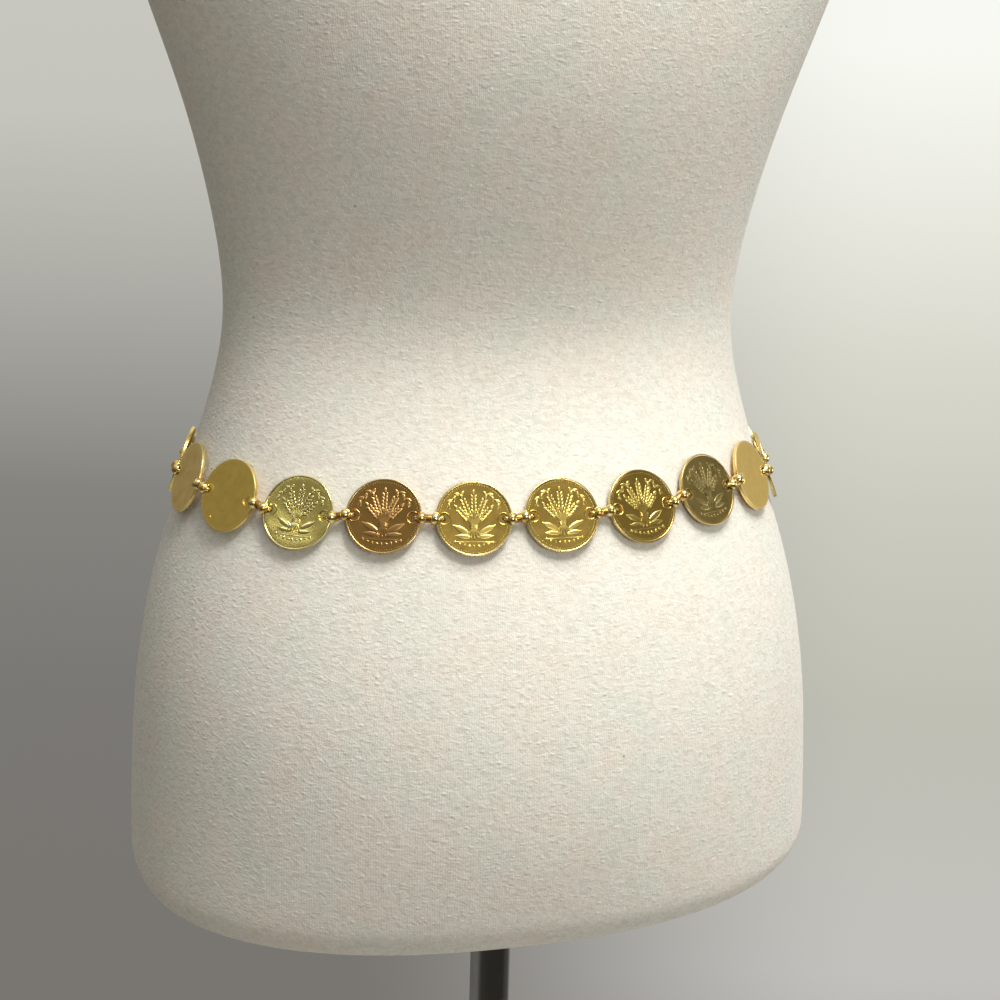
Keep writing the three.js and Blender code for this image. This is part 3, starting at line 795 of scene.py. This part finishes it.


# the bright, coppery, dark and pale finishes are painted reflection and light: each colour carries how
# bright and warm that coin's mirrored room looks
finishes_and_painted_tones = {
    "olive": gold_plate("aged_gold_plate", "#e0bf64", "#d2ba68", "#e6cf8c", 0.24, 0.10),
    "bright": gold_plate("gold_plate_painted_bright_reflection", "#f2e58c", "#f4e89c", "#eee0a0", 0.10, 0.08),
    "coppery": gold_plate("gold_plate_painted_coppery_reflection", "#cfa45e", "#c49c62", "#e8cf92", 0.25, 0.10),
    "dark": gold_plate("gold_plate_painted_dark_reflection", "#a8955a", "#a29260", "#d8bf84", 0.3, 0.10),
    "satin": gold_plate("satin_gold_plate", "#ffe078", "#ffe690", "#ffe28a", 0.34, 0.05),
    "pale": gold_plate("satin_gold_plate_painted_light", "#fad678", "#ffeab2", "#fce096", 0.36, 0.05),
}
print("finishes_and_painted_tones", sorted(finishes_and_painted_tones))

# %% A casting nub on the plain side of one coin
deselect()
bpy.ops.mesh.primitive_uv_sphere_add(segments=16, ring_count=8, radius=0.5)
nub = settle(bpy.context.object, "casting_nub")
bpy.ops.object.mode_set(mode="EDIT")
bpy.ops.mesh.select_all(action="SELECT")
bpy.ops.transform.resize(value=(0.9 * mm, 1.2 * mm, 0.6 * mm))
pick("VERT", lambda p, n: p.y > 0.1 * mm)
bpy.ops.transform.resize(value=(0.7, 1.2, 1.0), center_override=(0, 0, 0))
bpy.ops.object.mode_set(mode="OBJECT")
nub.data.transform(Matrix.Translation((6.3 * mm, -10.9 * mm, -half_thick)))
smooth(nub, 60)
print("nub triangles", triangles(nub))

# %% Place the coins
# the coins listed get a tone with painted reflection and light; every other coin is olive, or satin
# where its plain side is out
painted_reflection_tones = {
    "coin_06": "pale", "coin_08": "bright", "coin_09": "coppery", "coin_13": "dark", "coin_14": "pale"}
for name in coin_names:
    place = coin_frames[name]
    if not struck_outside[name]:
        place = place @ Matrix.Rotation(math.pi, 4, "Y")
    coin = copied(coin_master, place, name.replace("coin", "gold_coin"))
    if name == "coin_07":
        coin = joined([copied(nub, place), coin], coin.name)
    dress(coin, finishes_and_painted_tones[painted_reflection_tones.get(name, "olive" if struck_outside[name] else "satin")])
    stands_for(coin, "dressed_form", name)
for spare in (coin_master, nub):
    bpy.data.objects.remove(spare)
print("coins placed", len(coin_names))

# %% [markdown]
# ## The links
# Each link is cast in one piece: a rounded loop closes round the edge of each neighbour coin through
# its hole, and a short grooved barrel joins the two. From the front a loop is a bright round knob
# with a neck going into the recess. Two overlapping spheres, remeshed into one skin and cut to
# leave room for the coin, give that soft cast shape better than sharp solids would.

# %% One loop
# the knob over the coin's edge and the neck into its hole: millimetres from the coin's middle, size
knob_and_neck = [(15.4, (4.7, 5.1, 5.6)), (13.0, (2.6, 1.9, 3.4))]
room_at_edge, room_at_face, throat_radius = 0.22 * mm, 0.2 * mm, 1.18 * mm
loop_parts = []
for at, size in knob_and_neck:
    deselect()
    bpy.ops.mesh.primitive_uv_sphere_add(
        segments=32, ring_count=16, radius=0.5, location=(at * mm, 0, 0.2 * mm))
    bpy.context.object.scale = [s * mm for s in size]
    loop_parts.append(settle(bpy.context.object, "knob"))
loop = joined(loop_parts, "link_loop")
add_modifier(loop, "REMESH", mode="VOXEL", voxel_size=0.19 * mm, use_smooth_shade=True)
add_modifier(loop, "SMOOTH", factor=0.5, iterations=2)
deselect()
bpy.ops.mesh.primitive_cylinder_add(
    vertices=96, radius=coin_radius + room_at_edge, depth=2 * (half_thick + room_at_face))
coin_space = settle(bpy.context.object, "coin_space")
deselect()
bpy.ops.mesh.primitive_cylinder_add(
    vertices=24, radius=throat_radius, depth=4 * mm, location=(hole_at, 0, 0))
throat = settle(bpy.context.object, "throat")
add_modifier(coin_space, "BOOLEAN", object=throat, operation="DIFFERENCE", solver="EXACT")
add_modifier(loop, "BOOLEAN", object=coin_space, operation="DIFFERENCE", solver="EXACT")
for spare in (throat, coin_space):
    bpy.data.objects.remove(spare)
smooth(loop, 45)
print("loop triangles", triangles(loop))

# %% One barrel
barrel_length, barrel_radius = 3.1 * mm, 1.35 * mm
rib_pitch, rib_half, rib_growth = 0.58 * mm, 0.16 * mm, 1.22
deselect()
bpy.ops.mesh.primitive_cylinder_add(vertices=24, radius=barrel_radius, depth=barrel_length)
barrel = settle(bpy.context.object, "link_barrel")
ribs = [place * rib_pitch for place in range(-2, 3)]
bpy.ops.object.mode_set(mode="EDIT")
for level in [at + off for at in ribs for off in (-rib_half, rib_half)]:
    bpy.ops.mesh.select_all(action="SELECT")
    bpy.ops.mesh.bisect(plane_co=(0, 0, level), plane_no=(0, 0, 1))
pick("VERT", lambda p, n: min(abs(p.z - at) for at in ribs) < 1.25 * rib_half)
bpy.ops.transform.resize(value=(rib_growth, rib_growth, 1), center_override=(0, 0, 0))
bpy.ops.object.mode_set(mode="OBJECT")
add_modifier(
    barrel, "BEVEL", width=0.08 * mm, segments=2, limit_method="ANGLE", angle_limit=math.radians(25))
smooth(barrel, 50)
print("barrel triangles", triangles(barrel))


# %% Link material
def cast_brass(name, worn_colour, colour, high_colour, rough):
    material, tree = new_material(name)
    spot = add_node(tree, "TexCoord").outputs["Object"]
    # casting ripple 1 mm across under a polish, with redder metal showing in dull patches
    ripple = add_node(tree, "TexNoise", {"Vector": spot, "Scale": 900.0, "Detail": 3.0})
    rub = add_node(tree, "TexNoise", {"Vector": spot, "Scale": 380.0, "Detail": 3.0})
    tone = add_node(tree, "ValToRGB", {0: rub}, stops=[
        (0.35, worn_colour), (0.5, colour), (0.7, high_colour)])
    gloss = add_node(tree, "MapRange", {0: rub, 1: 0.3, 2: 0.7, 3: rough * 1.4, 4: rough * 0.8})
    bump = add_node(tree, "Bump", {"Height": ripple, "Strength": 0.5, "Distance": 0.1 * mm})
    metal = add_node(tree, "BsdfPrincipled", {
        "Base Color": tone, "Metallic": 1.0, "Roughness": gloss, "Normal": bump})
    add_node(tree, "OutputMaterial", {"Surface": metal})
    return material


loop_metal = cast_brass("polished_plated_cast_brass", "#dcb060", "#f4dc8c", "#fff2bc", 0.23)
barrel_metal = cast_brass("dull_cast_brass", "#8a5c34", "#b08044", "#dab266", 0.3)
dress(loop, loop_metal)
dress(barrel, barrel_metal)

# %% Place the links
half_turn = Matrix.Rotation(math.pi, 4, "Z")
barrel_end, overlap = 16.6 * mm, 0.6 * mm
for before, after in zip(coin_names, coin_names[1:]):
    start = coin_frames[before] @ Vector((barrel_end, 0, 0))
    end = coin_frames[after] @ Vector((-barrel_end, 0, 0))
    axis = end - start
    along = axis.to_track_quat("Z", "Y").to_matrix().to_4x4()
    stretch = Matrix.Diagonal((1, 1, (axis.length + overlap) / barrel_length, 1))
    parts = [
        copied(barrel, Matrix.Translation((start + end) / 2) @ along @ stretch),
        copied(loop, coin_frames[after] @ half_turn),
        copied(loop, coin_frames[before]),
    ]
    link = joined(parts, f"gold_link_{before[-2:]}")
    stands_for(link, "dressed_form", f"link_{before[-2:]}")
print("links placed", len(coin_names) - 1)

# %% [markdown]
# ## The hook clasp
# At the hidden front the last loop carries a bent wire hook that goes through the first coin's free
# hole. Wire is drawn along a curve: the route is a few points, the bevel depth is the wire's radius.

# %% Hook clasp
first, last = coin_frames["coin_01"], coin_frames["coin_20"]
# the bend leaves room for the wire of the CAD hook; the drawn wire is a hair thinner
hook_gap, hook_wire, drawn_wire = 0.52 * mm, 0.65 * mm, 0.62 * mm
bend = half_thick + hook_gap + hook_wire
bend_middle, corner = -hole_at - bend, 0.7 * bend
route = [
    last @ Vector((16.3 * mm, 0, 0)),
    last @ Vector((19.5 * mm, 0, 0)),
    first @ Vector((bend_middle - 5 * mm, 0, bend)),
    first @ Vector((bend_middle, 0, bend)),
    first @ Vector((bend_middle + corner, 0, corner)),
    first @ Vector((bend_middle + bend, 0, 0)),
    first @ Vector((bend_middle + corner, 0, -corner)),
    first @ Vector((bend_middle, 0, -bend)),
    first @ Vector((bend_middle - 1.2 * mm, 0, -bend)),
]
wire_line = bpy.data.curves.new("hook_wire", "CURVE")
wire_line.dimensions = "3D"
wire_line.bevel_depth = drawn_wire
wire_line.bevel_resolution = 6
wire_line.resolution_u = 12
wire_line.use_fill_caps = True
spline = wire_line.splines.new("BEZIER")
spline.bezier_points.add(len(route) - 1)
for point, at in zip(spline.bezier_points, route):
    point.co = at
    point.handle_left_type = point.handle_right_type = "AUTO"
wire = bpy.data.objects.new("hook_wire", wire_line)
bpy.context.collection.objects.link(wire)
choose(wire)
bpy.ops.object.convert(target="MESH")
wire = bpy.context.object
smooth(wire, 40)
dress(wire, loop_metal)
clasp = joined([copied(loop, last), wire], "gold_hook_clasp")
stands_for(clasp, "dressed_form", "hook_clasp")
for spare in (loop, barrel):
    bpy.data.objects.remove(spare)
print("clasp triangles", triangles(clasp))

# %% Sizes
visual_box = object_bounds()
sizes = {"cad": cad_box, "visual": visual_box}
plain = {key: [[round(c, 5) for c in corner] for corner in box] for key, box in sizes.items()}
total = sum(triangles(o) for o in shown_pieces() if o.type == "MESH")
print("all triangles", total, "visual box", [round(c, 3) for corner in visual_box for c in corner])
